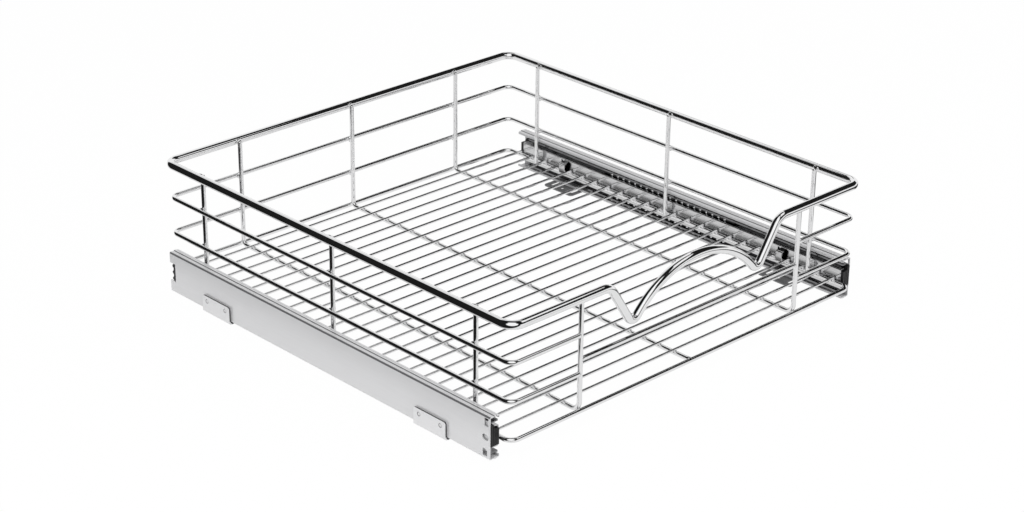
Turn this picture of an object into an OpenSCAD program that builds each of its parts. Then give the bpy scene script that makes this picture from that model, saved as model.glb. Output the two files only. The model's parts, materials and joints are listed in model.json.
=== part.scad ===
// Pull out cabinet basket: a welded wire basket on two full extension ball slides.
// X runs across the cabinet, Y to the rear and Z up.  The origin lies on the cabinet
// floor, under the middle of the basket.  Millimetres.

/* [Basket] */
// Width of the bottom frame and the side wires, from wire centre to wire centre
basket_w = 497; // [420:1:560]
// Depth of the bottom frame and the side wires, from wire centre to wire centre
basket_d = 527; // [500:1:560]
// Height of the bottom frame's wire centre above the cabinet floor
frame_z = 21.3; // [20:0.1:23]
// Height of the lower side wire above the bottom frame
lower_wire_rise = 40.6; // [34:0.1:46]
// Height of the upper side wire above the bottom frame
upper_wire_rise = 81.6; // [70:0.1:90]
// Height of the top rim above the bottom frame
rim_rise = 121; // [112:0.5:160]
// Corner radius of the bottom frame and the side wires
loop_corner_r = 10; // [6:0.5:20]
// Corner radius of the top rim
rim_corner_r = 14; // [8:0.5:24]

/* [Wire] */
// Diameter of the top rim wire
rim_dia = 9; // [6:0.5:10]
// Diameter of the frame, side, runner and upright wires
frame_dia = 5; // [4:0.5:6]
// Diameter of the floor cross wires
cross_dia = 3; // [2:0.5:4]
// How far two wires sink into each other at a weld
weld_set = 0.4; // [0.1:0.1:0.6]

/* [Floor and uprights] */
// Distance from one floor cross wire to the next
cross_pitch = 21; // [15:0.5:30]
// Room left between the end cross wires and the frame's ends, at least
cross_margin = 15; // [13:0.5:24]
// Distance from the middle runner wire to each outer one
runner_x = 157.5; // [146:0.5:180]
// Bend radius where an outer runner turns up into its front upright
front_bend_r = 10; // [6:0.5:11]
// Bend radius where a runner turns up into its rear upright
rear_bend_r = 6; // [5:0.5:9]
// Wanted distance of the end side uprights from the middle one, set to a gap between cross wires
side_upright_y = 210; // [120:1:225]
// Height of the upright ends above the rim's centre
upright_head = 1.2; // [0:0.1:4]
// Depth of the side upright ends below the bottom frame's centre
upright_foot = 2.3; // [0:0.1:2.5]
// Height of the front bar below the lowest bends of the handle
bar_below = 20.8; // [12:0.1:26]

/* [Handle] */
// Straight rim between a front upright and the start of the handle dip
dip_shoulder = 26.5; // [10:0.5:34]
// Width of one side of the dip, from its upper bend to its lower bend
dip_run = 41.6; // [34:0.1:50]
// Depth of the lower bends under the rim
dip_depth = 44.8; // [36:0.1:46]
// Radius of the upper bends of the dip
dip_bend_r = 16; // [10:0.5:20]
// Radius of the lower bends of the dip
grip_bend_r = 7.7; // [6:0.1:10]
// How far the top of the hand grip arch lies under the rim
arch_drop = 3.6; // [0:0.1:12]

/* [Slides] */
// Length of the outer slide member
slide_len = 500; // [440:1:520]
// Height of the slide
slide_h = 45.5; // [44:0.5:52]
// Thickness of the closed slide
slide_t = 12.7; // [12.5:0.1:14]
// Thickness of the slide steel
steel = 1.2; // [1:0.1:1.3]
// How far the slides' middle lies in front of the basket's middle
slide_setback = 1; // [-4:0.5:4]
// Set back of the middle member's front end behind the outer member's
mid_front = 1; // [1:0.5:6]
// Set back of the middle member's rear end before the outer member's
mid_rear = 16; // [15:0.5:40]
// Set back of the inner member's front end behind the outer member's
inner_front = 1.5; // [1:0.5:6]
// Diameter of the balls between the outer and middle members
outer_ball_dia = 4.6; // [4:0.1:5]
// Diameter of the balls between the middle and inner members
inner_ball_dia = 3.9; // [3.5:0.1:4.2]
// Distance from one ball to the next
ball_pitch = 9.2; // [7:0.1:10]
// Number of balls in a row
balls_in_row = 20; // [8:1:22]
// Middle of the closed slide's ball rows, behind the slide's middle
cage_back = 8.5; // [-10:0.5:10]
// Thickness of the ball cages' web
cage_t = 0.6; // [0.5:0.1:0.7]
// Distance of the slide's inner face from the frame wire beside it
frame_gap = 0.1; // [0.05:0.05:0.3]
// Side clearance between the slide members and their cages
side_clear = 0.3; // [0.25:0.05:0.35]
// Play of a ball between its two races
ball_play = 0.1; // [0.05:0.05:0.2]

/* [Hooks] */
// Wanted distance of each hook from the basket's middle, set to a gap between cross wires
hook_y = 168; // [120:1:190]
// Width of a hook tab
hook_w = 8.5; // [5:0.5:9]
// Size of the window that a hook is cut from
hook_window = 14; // [12:0.5:16]
// Height of a hook's underside above the frame wire's centre
hook_rise = 10.7; // [6:0.1:11]

/* [Brackets] */
// Distance from the front brackets to the rear brackets
bracket_spacing = 336; // [240:1:360]
// Length of a bracket along the slide
bracket_len = 46; // [44:1:70]
// Height of a bracket's plate
bracket_h = 19.5; // [19:0.5:26]
// Thickness of the bracket sheet
bracket_t = 1.3; // [1:0.1:1.5]
// Stand off of a bracket's plate from the slide
bracket_gap = 1; // [0.6:0.1:1.4]
// Clear height between a bracket's foot and the slide
foot_clear = 0.95; // [0.5:0.05:1.5]
// Reach of a bracket's foot inboard of the slide's outer face
foot_reach = 27.3; // [25:0.1:34]
// Diameter of the screw hole in each foot
screw_dia = 4.5; // [3.5:0.1:5]
// Distance of the screw hole from the foot's inner edge
screw_inset = 9; // [7:0.5:11]
// Width of the adjusting slots in a foot
slot_w = 4; // [3:0.5:5]
// Length of the adjusting slots in a foot
slot_len = 14; // [10:0.5:16]
// Distance of each adjusting slot from the screw hole
slot_y = 16; // [14:0.5:18]
// Distance of each rivet from the bracket's middle
rivet_y = 15.4; // [10:0.1:16]

/* [Hidden] */

$fn = 48;
ARCH_FN = 240;
LEFT = -1;
RIGHT = 1;
CUT = 1;

// Basket wires
loop_x = basket_w / 2;
loop_y = basket_d / 2;
wire_r = frame_dia / 2;
rim_z = frame_z + rim_rise;
rim_x = loop_x - wire_r + rim_dia / 2;
rim_y = loop_y - wire_r + rim_dia / 2;
upright_top = rim_z + upright_head;
side_up_x = loop_x - frame_dia + weld_set;
rear_up_y = loop_y - frame_dia + weld_set;
front_up_y = -loop_y + sqrt(pow(front_bend_r + frame_dia - weld_set, 2) - pow(front_bend_r, 2)) - front_bend_r;
front_up_top = rim_z - sqrt(pow(rim_dia / 2, 2) - pow(rim_y + front_up_y, 2)) + weld_set;
cross_z = frame_z + wire_r + cross_dia / 2 - weld_set;
cross_end = 1.5;
cross_len = basket_w + 2 * cross_end;
cross_half = floor((loop_y - cross_margin - cross_pitch / 2) / cross_pitch) + 1;
side_step = cross_pitch * round(side_upright_y / cross_pitch);

// Handle: two dips and an arch between them, all in the rim's front plane
dip_x = runner_x - dip_shoulder;
grip_x = dip_x - dip_run;
grip_z = rim_z - dip_depth + grip_bend_r;
arch_top = rim_z - arch_drop;
arch_r = (pow(grip_x, 2) + pow(grip_z - arch_top, 2) - pow(grip_bend_r, 2)) / (2 * (grip_bend_r + arch_top - grip_z));
arch_z = arch_top - arch_r;
arch_end = atan2(grip_z - arch_z, grip_x);
bend_rise = rim_z - dip_bend_r - grip_z;
dip_slope = atan2(bend_rise, dip_run) + asin((dip_bend_r + grip_bend_r) / norm([dip_run, bend_rise]));
bar_z = rim_z - dip_depth - bar_below;
hair = 0.1;
seat = 0.05;

// Slide section: u is counted inboard from the slide's outer face, v up from its centre
slide_x = loop_x + wire_r + frame_gap + slide_t;
slide_y = -slide_setback;
slide_z = bracket_t + foot_clear + slide_h / 2;
slide_front = slide_y - slide_len / 2;
slide_rear = slide_y + slide_len / 2;
half_h = slide_h / 2;
lip_back = 0.4;
outer_r = 1.6;
fold_r = 1.5;
outer_lip_u = slide_t - lip_back - steel;
outer_ball_v = half_h - steel - ball_play / 2 - outer_ball_dia / 2;
outer_lip_v = outer_ball_v + lip_back;
mid_h = half_h - steel - ball_play - outer_ball_dia;
inner_ball_v = mid_h - steel - ball_play / 2 - inner_ball_dia / 2;
inner_h = mid_h - steel - ball_play - inner_ball_dia;
outer_cage_u = steel + side_clear;
mid_u = outer_cage_u + cage_t + side_clear;
inner_cage_u = mid_u + steel + side_clear;
inner_u = inner_cage_u + cage_t + 2 * side_clear;
inner_web_u = slide_t - steel;
mid_lip_u = inner_web_u - side_clear - steel;
mid_lip_turn = 0.75;
mid_lip_h = mid_h + mid_lip_turn;
edge_r = 0.4;
bead_u = 7.2;
bead_w = 2.4;
bead_rise = 0.5;
ball_side = 0.2;
outer_ball_u = mid_lip_u - ball_side - outer_ball_dia / 2;
inner_ball_u = (inner_u + inner_web_u) / 2;
outer_cage_flange = 1.6;
inner_cage_flange = 1.3;
cage_edge = 1.2;
cage_end = 15;
pocket_play = 0.3;
cage_len = ball_pitch * (balls_in_row - 1) + 2 * cage_end;
cage_mid_y = slide_y + cage_back;
first_ball_y = cage_mid_y - ball_pitch * (balls_in_row - 1) / 2;

// Ends of the slide
notch_y = 9;
notch_low = -9.5;
notch_high = 11;
bumper_clear = 0.3;
stop_y = slide_rear - notch_y;
inner_rear_y = stop_y - bumper_clear;
bumper_low = notch_low + 1;
bumper_high = notch_high - 1;
bumper_skin = 0.3;
bumper_t = 3.5;
wave_r = 2;
pad_y = 5;
pad_lap = 1.5;
pad_u = inner_u - side_clear;
// behind the outer member's front end: a square slot, a long hole and a lower slot
end_slot = [2, 7.6];
end_slot_low = 11;
end_slot_high = 2.2;
end_hole_y = 6;
end_hole_len = 8.8;
end_hole_h = 6.5;
low_slot = [3.4, 9.9];
low_slot_low = 2.8;
low_slot_high = 10.4;
// front bumper: its cap stands in front of the middle member, its tail lies inside
front_cap = 2;
cap_tail = 7;
cap_low = 2;
cap_top = 1;
cap_chamfer = 1.6;
cap_slant = 1.2;
rib_pitch = 2.4;
groove_w = 0.7;
groove_depth = 0.5;
grooves = 3;
// round dimple in the inner member's web
dimple_y = 68;
dimple_v = 2;
web_dimple_dia = 6;
web_dimple_depth = 0.5;

// Hooks
hook_step = cross_pitch * round(hook_y / cross_pitch);
hook_under = frame_z + hook_rise;
hook_leg_x = loop_x - wire_r - frame_gap;
hook_tip = frame_z - 0.3;
hook_bend_r = steel + 0.6;
window_low = frame_z - 0.8;
slide_in_x = slide_x - slide_t;

// Brackets
plate_x = slide_x + bracket_gap;
foot_x = slide_x - foot_reach;
fold_out_r = bracket_t + 0.7;
plate_corner_r = 2.5;
foot_corner_r = 4;
slot_inset = 6.5;
relief_inset = 20.2;
relief_w = 3.5;
rivet_drop = 5.7;
rivet_z = bracket_h - rivet_drop;
rivet_dia = 2.4;
rivet_head_dia = 3.6;
rivet_head = 0.4;
boss_dia = 7;
dimple_dia = 4.2;
dimple_depth = 0.6;
rivet_play = 0.05;

// A straight wire from p to q
module rod(p, q, dia) {
    d = q - p;
    translate(p)
        rotate([0, acos(d[2] / norm(d)), atan2(d[1], d[0])])
            cylinder(d = dia, h = norm(d));
}

// A bent wire about centre c, from one angle to another, in the plane named
module bend(c, r, from, to, dia, plane, fn = $fn) {
    turn = plane == "xy" ? [0, 0, 0] : plane == "xz" ? [90, 0, 0] : [90, 0, 90];
    translate(c)
        rotate(turn)
            rotate([0, 0, from])
                rotate_extrude(angle = to - from, $fn = fn)
                    translate([r, 0])
                        circle(d = dia, $fn = 48);
}

// Left, right and rear wires of a loop with its four bent corners
module three_sides(x, y, z, r, dia) {
    for (s = [LEFT, RIGHT]) rod([s * x, -y + r, z], [s * x, y - r, z], dia);
    rod([-x + r, y, z], [x - r, y, z], dia);
    bend([x - r, y - r, z], r, 0, 90, dia, "xy");
    bend([-x + r, y - r, z], r, 90, 180, dia, "xy");
    bend([-x + r, -y + r, z], r, 180, 270, dia, "xy");
    bend([x - r, -y + r, z], r, 270, 360, dia, "xy");
}

// A side wire: round three sides, with its ends welded to the front uprights
module side_wire(z) {
    end_x = runner_x + wire_r - weld_set;
    three_sides(loop_x, loop_y, z, loop_corner_r, frame_dia);
    for (s = [LEFT, RIGHT])
        rod([s * end_x, -loop_y, z], [s * (loop_x - loop_corner_r), -loop_y, z], frame_dia);
}

// One side of the handle: rim shoulder, upper bend, slope and lower bend.
// The bends are a hair thicker, and the straight ends seat in them.
module handle_side() {
    top = [dip_x, -rim_y, rim_z - dip_bend_r];
    low = [grip_x, -rim_y, grip_z];
    across = [sin(dip_slope), 0, -cos(dip_slope)];
    along = seat * [cos(dip_slope), 0, sin(dip_slope)];
    rod([dip_x - seat, -rim_y, rim_z], [rim_x - rim_corner_r, -rim_y, rim_z], rim_dia);
    bend(top, dip_bend_r, 90, 90 + dip_slope, rim_dia + hair, "xz");
    rod(low + grip_bend_r * across - along, top - dip_bend_r * across + along, rim_dia);
    bend(low, grip_bend_r, 180 + arch_end, 270 + dip_slope, rim_dia + hair, "xz");
}

module top_rim() {
    arch_start = arch_end - seat / arch_r * 180 / PI;
    color("gainsboro") {
        three_sides(rim_x, rim_y, rim_z, rim_corner_r, rim_dia);
        handle_side();
        mirror([1, 0, 0]) handle_side();
        bend([0, -rim_y, arch_z], arch_r, arch_start, 180 - arch_start, rim_dia, "xz", ARCH_FN);
    }
}

module upper_side_wire() {
    color("gainsboro") side_wire(frame_z + upper_wire_rise);
}

module lower_side_wire() {
    color("gainsboro") side_wire(frame_z + lower_wire_rise);
}

module bottom_frame_wire() {
    x = loop_x - loop_corner_r;
    color("silver") {
        three_sides(loop_x, loop_y, frame_z, loop_corner_r, frame_dia);
        rod([-x, -loop_y, frame_z], [x, -loop_y, frame_z], frame_dia);
    }
}

// The rear end of every runner: bent up into a rear upright
module runner_rear(x) {
    y = rear_up_y - rear_bend_r;
    bend([x, y, frame_z + rear_bend_r], rear_bend_r, 270, 360, frame_dia, "yz");
    rod([x, rear_up_y, frame_z + rear_bend_r], [x, rear_up_y, upright_top], frame_dia);
}

module outer_runner(x) {
    y = front_up_y + front_bend_r;
    z = frame_z + front_bend_r;
    color("silver") {
        rod([x, front_up_y, z], [x, front_up_y, front_up_top], frame_dia);
        bend([x, y, z], front_bend_r, 180, 270, frame_dia, "yz");
        rod([x, y, frame_z], [x, rear_up_y - rear_bend_r, frame_z], frame_dia);
        runner_rear(x);
    }
}

module middle_runner() {
    color("silver") {
        rod([0, -loop_y + wire_r - weld_set, frame_z], [0, rear_up_y - rear_bend_r, frame_z], frame_dia);
        runner_rear(0);
    }
}

module front_bar() {
    x = runner_x - wire_r + weld_set;
    color("gainsboro") rod([-x, front_up_y, bar_z], [x, front_up_y, bar_z], frame_dia);
}

module side_uprights(side) {
    x = side * side_up_x;
    color("silver")
        for (y = [-side_step, 0, side_step])
            rod([x, y, frame_z - upright_foot], [x, y, upright_top], frame_dia);
}

module floor_cross_wires() {
    color("silver")
        for (i = [-cross_half : cross_half - 1])
            rod([-cross_len / 2, (i + 0.5) * cross_pitch, cross_z],
                [cross_len / 2, (i + 0.5) * cross_pitch, cross_z], cross_dia);
}

// Puts a right hand piece on the side named
module on_side(side) {
    if (side == RIGHT) children();
    else mirror([1, 0, 0]) children();
}

// Carries a slide section, drawn in u and v, from y0 to y1 on the right side
module along_slide(y0, y1) {
    translate([slide_x, y0, slide_z])
        rotate([90, 0, 180])
            linear_extrude(y1 - y0) children();
}

// A block on the right side, from its lowest to its highest u, y and v
module slide_block(u, y, v) {
    translate([slide_x - u[1], y[0], slide_z + v[0]])
        cube([u[1] - u[0], y[1] - y[0], v[1] - v[0]]);
}

// A rectangle from u0 to u1 and h each way, with radius r0 at u0 and r1 at u1
module rounded(u0, u1, h, r0, r1) {
    translate([u0 + r0, -h]) square([u1 - r1 - u0 - r0, 2 * h]);
    translate([u0, r0 - h]) square([r0 + 0.01, 2 * (h - r0)]);
    translate([u1 - r1 - 0.01, r1 - h]) square([r1 + 0.01, 2 * (h - r1)]);
    for (s = [-1, 1]) {
        translate([u0 + r0, s * (h - r0)]) circle(r = r0);
        translate([u1 - r1, s * (h - r1)]) circle(r = r1);
    }
}

module outer_section() {
    foot = bead_w / 2 + bead_rise / 2;
    difference() {
        rounded(0, slide_t - lip_back, half_h, outer_r, fold_r);
        rounded(steel, outer_lip_u, half_h - steel, outer_r - steel, fold_r - steel);
        translate([outer_ball_u, -outer_lip_v]) square([slide_t, 2 * outer_lip_v]);
    }
    // bead over each ball track
    for (turn = [0, 180])
        translate([bead_u, 0])
            rotate(turn)
                translate([0, half_h])
                    polygon([[-foot, 0], [-foot, -bead_rise], [foot, -bead_rise], [foot, 0],
                             [bead_w / 2, bead_rise], [-bead_w / 2, bead_rise]]);
}

module mid_section() {
    difference() {
        union() {
            rounded(mid_u, mid_lip_u + steel, mid_h, fold_r, edge_r);
            for (s = [-1, 1])
                translate([mid_lip_u + steel / 2, s * (mid_lip_h - steel / 2)])
                    square(steel, center = true);
        }
        rounded(mid_u + steel, 2 * slide_t, mid_h - steel, fold_r - steel / 2, edge_r);
    }
}

module inner_section() {
    difference() {
        rounded(inner_u, slide_t, inner_h, edge_r, fold_r);
        rounded(0, inner_web_u, inner_h - steel, edge_r, fold_r - steel / 2);
    }
}

module outer_member(side) {
    web = [-CUT, steel + CUT];
    color("lightgray") on_side(side) difference() {
        along_slide(slide_front, slide_rear) outer_section();
        slide_block(web, [slide_front + end_slot[0], slide_front + end_slot[1]],
                    [half_h - end_slot_low, half_h - end_slot_high]);
        translate([slide_x - steel - CUT, slide_front + end_hole_y, slide_z])
            rotate([90, 0, 90]) linear_extrude(steel + 2 * CUT) slot_2d(end_hole_len, end_hole_h);
        slide_block(web, [slide_front + low_slot[0], slide_front + low_slot[1]],
                    [low_slot_low - half_h, low_slot_high - half_h]);
        // notch for the rear bumper
        slide_block(web, [stop_y, slide_rear + CUT], [notch_low, notch_high]);
        for (end = [-1, 1]) rivet_shanks(end, rivet_dia + 2 * rivet_play);
    }
}

module rear_bumper(side) {
    wave_pitch = (bumper_high - bumper_low) / 2 - wave_r;
    color("dimgray") on_side(side) {
        // block in the notch with a wavy rear edge
        slide_block([bumper_skin, pad_u], [stop_y, stop_y + bumper_t], [bumper_low, bumper_high]);
        for (i = [-1 : 1])
            translate([slide_x - pad_u, stop_y + bumper_t,
                       slide_z + (bumper_low + bumper_high) / 2 + i * wave_pitch])
                rotate([0, 90, 0]) cylinder(r = wave_r, h = pad_u - bumper_skin);
        // pad behind the web, and the stop face for the inner member
        slide_block([steel, pad_u], [stop_y - pad_y, stop_y + pad_y],
                    [notch_low - pad_lap, notch_high + pad_lap]);
        slide_block([steel, inner_web_u], [stop_y, stop_y + pad_y], [bumper_low, bumper_high]);
    }
}

// Both rivet bodies of the front (-1) or rear (1) bracket on the right side
module rivet_shanks(end, dia) {
    y = slide_y + end * bracket_spacing / 2;
    for (s = [-1, 1])
        translate([slide_x - steel, y + s * rivet_y, rivet_z])
            rotate([0, 90, 0])
                cylinder(d = dia, h = steel + bracket_gap + bracket_t - dimple_depth);
}

// L section of a bracket in x and z, with a rounded fold under the slide's outer corner
module bracket_section() {
    x1 = plate_x + bracket_t;
    in_r = fold_out_r - bracket_t;
    translate([foot_x, 0]) square([x1 - fold_out_r - foot_x, bracket_t]);
    translate([plate_x, fold_out_r]) square([bracket_t, bracket_h - fold_out_r]);
    translate([x1 - fold_out_r, fold_out_r])
        intersection() {
            difference() {
                circle(r = fold_out_r);
                circle(r = in_r);
            }
            translate([0, -fold_out_r]) square(fold_out_r);
        }
}

// Rounds off a corner at the origin, with the material on its x and y sides
module corner_cut(r) {
    difference() {
        translate([-CUT, -CUT]) square(r + CUT);
        translate([r, r]) circle(r = r);
    }
}

module bracket(side, end) {
    y = slide_y + end * bracket_spacing / 2;
    y0 = y - bracket_len / 2;
    y1 = y + bracket_len / 2;
    screw_x = foot_x + screw_inset;
    plate_mid_x = plate_x + bracket_t / 2;
    color("whitesmoke") on_side(side) difference() {
        union() {
            translate([0, y1, 0]) rotate([90, 0, 0]) linear_extrude(bracket_len) bracket_section();
            for (s = [-1, 1])
                translate([slide_x, y + s * rivet_y, rivet_z])
                    rotate([0, 90, 0]) cylinder(d = boss_dia, h = bracket_gap + bracket_t / 2);
        }
        // rounded upper corners of the plate
        for (s = [-1, 1])
            translate([plate_mid_x, y - s * bracket_len / 2, bracket_h])
                mirror([0, s < 0 ? 1 : 0, 0])
                    rotate([90, 0, 90])
                        mirror([0, 1, 0])
                            linear_extrude(2 * bracket_t, center = true) corner_cut(plate_corner_r);
        // rounded inboard corners of the foot
        for (s = [-1, 1])
            translate([foot_x, y - s * bracket_len / 2, 0])
                mirror([0, s < 0 ? 1 : 0, 0])
                    linear_extrude(4 * bracket_t, center = true) corner_cut(foot_corner_r);
        // screw hole, adjusting slots and relief slot in the foot
        translate([screw_x, y, -CUT]) cylinder(d = screw_dia, h = bracket_t + 2 * CUT);
        for (s = [-1, 1])
            translate([foot_x + slot_inset + slot_len / 2, y + s * slot_y, -CUT])
                linear_extrude(bracket_t + 2 * CUT) slot_2d(slot_len, slot_w);
        translate([foot_x + relief_inset, y, -CUT])
            linear_extrude(bracket_t + 2 * CUT) rotate(90) slot_2d(slot_len, relief_w);
        // dimples and holes for the rivets
        for (s = [-1, 1])
            translate([plate_x + bracket_t - dimple_depth, y + s * rivet_y, rivet_z])
                rotate([0, 90, 0]) cylinder(d = dimple_dia, h = bracket_t);
        rivet_shanks(end, rivet_dia + 2 * rivet_play);
    }
}

// A slot with round ends, of the length and width named
module slot_2d(length, width) {
    square([length - width, width], center = true);
    for (s = [-1, 1])
        translate([s * (length - width) / 2, 0]) circle(d = width);
}

module bracket_rivets() {
    color("silver")
        for (side = [LEFT, RIGHT], end = [-1, 1])
            on_side(side) {
                rivet_shanks(end, rivet_dia);
                for (s = [-1, 1])
                    translate([plate_x + bracket_t - dimple_depth,
                               slide_y + end * bracket_spacing / 2 + s * rivet_y, rivet_z])
                        rotate([0, 90, 0]) cylinder(d = rivet_head_dia, h = rivet_head);
            }
}

// A ball cage: web at u between the members and a flange along each ball row, with pockets
module cage(side, u, ball_dia, ball_u, ball_v, flange) {
    y0 = cage_mid_y - cage_len / 2;
    y1 = cage_mid_y + cage_len / 2;
    reach = ball_u + cage_edge;
    color("dimgray") on_side(side) difference() {
        union() {
            slide_block([u, u + cage_t], [y0, y1], [-ball_v, ball_v]);
            for (s = [-1, 1])
                slide_block([u, reach], [y0, y1], [s * ball_v - flange / 2, s * ball_v + flange / 2]);
        }
        for (s = [-1, 1], i = [0 : balls_in_row - 1])
            translate([slide_x - ball_u, first_ball_y + i * ball_pitch, slide_z + s * ball_v])
                cylinder(d = ball_dia + pocket_play, h = flange + CUT, center = true);
    }
}

module outer_cage(side) {
    cage(side, outer_cage_u, outer_ball_dia, outer_ball_u, outer_ball_v, outer_cage_flange);
}

module inner_cage(side) {
    cage(side, inner_cage_u, inner_ball_dia, inner_ball_u, inner_ball_v, inner_cage_flange);
}

module balls(side, dia, u, v) {
    color("silver") on_side(side)
        for (s = [-1, 1], i = [0 : balls_in_row - 1])
            translate([slide_x - u, first_ball_y + i * ball_pitch, slide_z + s * v])
                sphere(d = dia, $fn = 24);
}

module outer_balls(side) {
    balls(side, outer_ball_dia, outer_ball_u, outer_ball_v);
}

module inner_balls(side) {
    balls(side, inner_ball_dia, inner_ball_u, inner_ball_v);
}

module mid_member(side) {
    color("silver") on_side(side)
        along_slide(slide_front + mid_front, slide_rear - mid_rear) mid_section();
}

// Section of the front bumper: low inside the inner member, tall outboard of its flange
module bumper_section(u0) {
    low = cap_low - inner_h + steel;
    shelf_u = inner_u - side_clear;
    slope_top = inner_h - steel - bumper_clear;
    top = mid_h - steel - cap_top;
    polygon([
        [u0, low],
        [inner_web_u - side_clear, low],
        [inner_web_u - side_clear, slope_top - cap_slant],
        [shelf_u, slope_top],
        [shelf_u, top - cap_chamfer],
        [shelf_u - cap_chamfer / 2, top],
        [u0, top]
    ]);
}

module front_bumper(side) {
    y0 = slide_front + mid_front - front_cap;
    y1 = slide_front + mid_front - seat;
    first_u = outer_cage_u + rib_pitch - groove_w;
    color("dimgray") on_side(side) difference() {
        union() {
            along_slide(y0, y1) bumper_section(outer_cage_u);
            along_slide(y1, y1 + cap_tail) bumper_section(mid_u + steel + seat);
        }
        // upright grooves between the ribs of its face
        for (i = [0 : grooves - 1])
            slide_block([first_u + i * rib_pitch, first_u + i * rib_pitch + groove_w],
                        [y0 - CUT, y0 + groove_depth], [-half_h, half_h]);
    }
}

// A hook in x and z: it leaves the web inboard, then turns down behind the frame wire
module hook_section() {
    leg_x = hook_leg_x - steel;
    translate([leg_x + hook_bend_r, hook_under])
        square([slide_in_x + steel - leg_x - hook_bend_r, steel]);
    translate([leg_x, hook_tip]) square([steel, hook_under + steel - hook_bend_r - hook_tip]);
    translate([leg_x + hook_bend_r, hook_under + steel - hook_bend_r])
        intersection() {
            difference() {
                circle(r = hook_bend_r);
                circle(r = hook_bend_r - steel);
            }
            translate([-hook_bend_r, 0]) square(hook_bend_r);
        }
}

module inner_member(side) {
    web_cut = [inner_web_u - 0.3, slide_t + CUT];
    window_v = window_low - slide_z;
    hook_v = hook_under - slide_z;
    color("silver") on_side(side) {
        difference() {
            along_slide(slide_front + inner_front, inner_rear_y) inner_section();
            for (s = [-1, 1]) {
                slide_block(web_cut, [s * hook_step - hook_window / 2, s * hook_step - hook_w / 2],
                            [window_v, window_v + hook_window]);
                slide_block(web_cut, [s * hook_step + hook_w / 2, s * hook_step + hook_window / 2],
                            [window_v, window_v + hook_window]);
                slide_block(web_cut, [s * hook_step - hook_w / 2 - 0.01, s * hook_step + hook_w / 2 + 0.01],
                            [window_v, hook_v]);
            }
            // round dimple in the web
            translate([slide_in_x - CUT, slide_y + dimple_y, slide_z + dimple_v])
                rotate([0, 90, 0]) cylinder(d = web_dimple_dia, h = CUT + web_dimple_depth);
        }
        for (s = [-1, 1])
            translate([0, s * hook_step + hook_w / 2, 0])
                rotate([90, 0, 0]) linear_extrude(hook_w) hook_section();
    }
}

outer_member(LEFT);  // left_outer_member
outer_member(RIGHT);  // right_outer_member
bracket(LEFT, -1);  // left_front_bracket
bracket(LEFT, 1);  // left_rear_bracket
bracket(RIGHT, -1);  // right_front_bracket
bracket(RIGHT, 1);  // right_rear_bracket
bracket_rivets();
rear_bumper(LEFT);  // left_rear_bumper
rear_bumper(RIGHT);  // right_rear_bumper
outer_cage(LEFT);  // left_outer_cage
outer_cage(RIGHT);  // right_outer_cage
outer_balls(LEFT);  // left_outer_balls
outer_balls(RIGHT);  // right_outer_balls
mid_member(LEFT);  // left_mid_member
mid_member(RIGHT);  // right_mid_member
front_bumper(LEFT);  // left_front_bumper
front_bumper(RIGHT);  // right_front_bumper
inner_cage(LEFT);  // left_inner_cage
inner_cage(RIGHT);  // right_inner_cage
inner_balls(LEFT);  // left_inner_balls
inner_balls(RIGHT);  // right_inner_balls
inner_member(LEFT);  // left_inner_member
inner_member(RIGHT);  // right_inner_member
top_rim();
upper_side_wire();
lower_side_wire();
bottom_frame_wire();
outer_runner(-runner_x);  // left_runner_wire
middle_runner();  // middle_runner_wire
outer_runner(runner_x);  // right_runner_wire
front_bar();
side_uprights(LEFT);  // left_side_uprights
side_uprights(RIGHT);  // right_side_uprights
floor_cross_wires();
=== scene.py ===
# %% [markdown]
# # Pull out cabinet basket
#
# A welded basket of bright chrome wire that runs on two full extension ball slides. The packed
# frame already holds every piece at its real size, so this lesson only gives the pieces their
# looks: round smooth wire, weld beads, satin zinc, bright nickel and moulded plastic. It starts
# with an empty scene and the frame, and measures the frame's boxes to place the wires.

# %% Frame
import json

import bpy
import numpy as np
from mathutils import Matrix, Vector

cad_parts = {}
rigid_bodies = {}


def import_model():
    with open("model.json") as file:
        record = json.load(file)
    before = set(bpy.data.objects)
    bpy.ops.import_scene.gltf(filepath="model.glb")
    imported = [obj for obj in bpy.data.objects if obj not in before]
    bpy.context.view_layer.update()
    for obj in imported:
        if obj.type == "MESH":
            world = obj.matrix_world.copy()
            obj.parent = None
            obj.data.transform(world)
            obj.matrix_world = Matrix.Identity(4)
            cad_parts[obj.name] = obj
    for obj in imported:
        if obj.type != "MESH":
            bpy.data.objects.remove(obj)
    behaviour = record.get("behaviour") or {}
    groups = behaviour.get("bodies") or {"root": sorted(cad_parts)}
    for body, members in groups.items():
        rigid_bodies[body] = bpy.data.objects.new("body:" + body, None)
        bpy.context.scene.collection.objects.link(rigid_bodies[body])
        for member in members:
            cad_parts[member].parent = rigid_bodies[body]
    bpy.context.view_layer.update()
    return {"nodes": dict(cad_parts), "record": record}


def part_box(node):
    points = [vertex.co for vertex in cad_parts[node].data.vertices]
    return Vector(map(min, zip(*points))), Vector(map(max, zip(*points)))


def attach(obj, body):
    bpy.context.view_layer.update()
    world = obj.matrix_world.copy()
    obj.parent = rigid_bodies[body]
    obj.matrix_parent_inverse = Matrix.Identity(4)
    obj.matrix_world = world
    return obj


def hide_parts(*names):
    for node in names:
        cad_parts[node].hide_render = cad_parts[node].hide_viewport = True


for stray in list(bpy.data.objects):
    bpy.data.objects.remove(stray)
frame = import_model()
MM = 0.001
X, Y, Z = np.eye(3)

# %% [markdown]
# ## Camera
#
# A product shot from the left, a little above, with a long lens, so that straight wires stay
# almost parallel. A Track To constraint could aim the camera, but it can't roll it. So the
# camera is placed by its azimuth, elevation and distance from the point it looks at, then
# rolled a hair, as a hand-held camera is. The two shifts move the object within its view.

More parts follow.
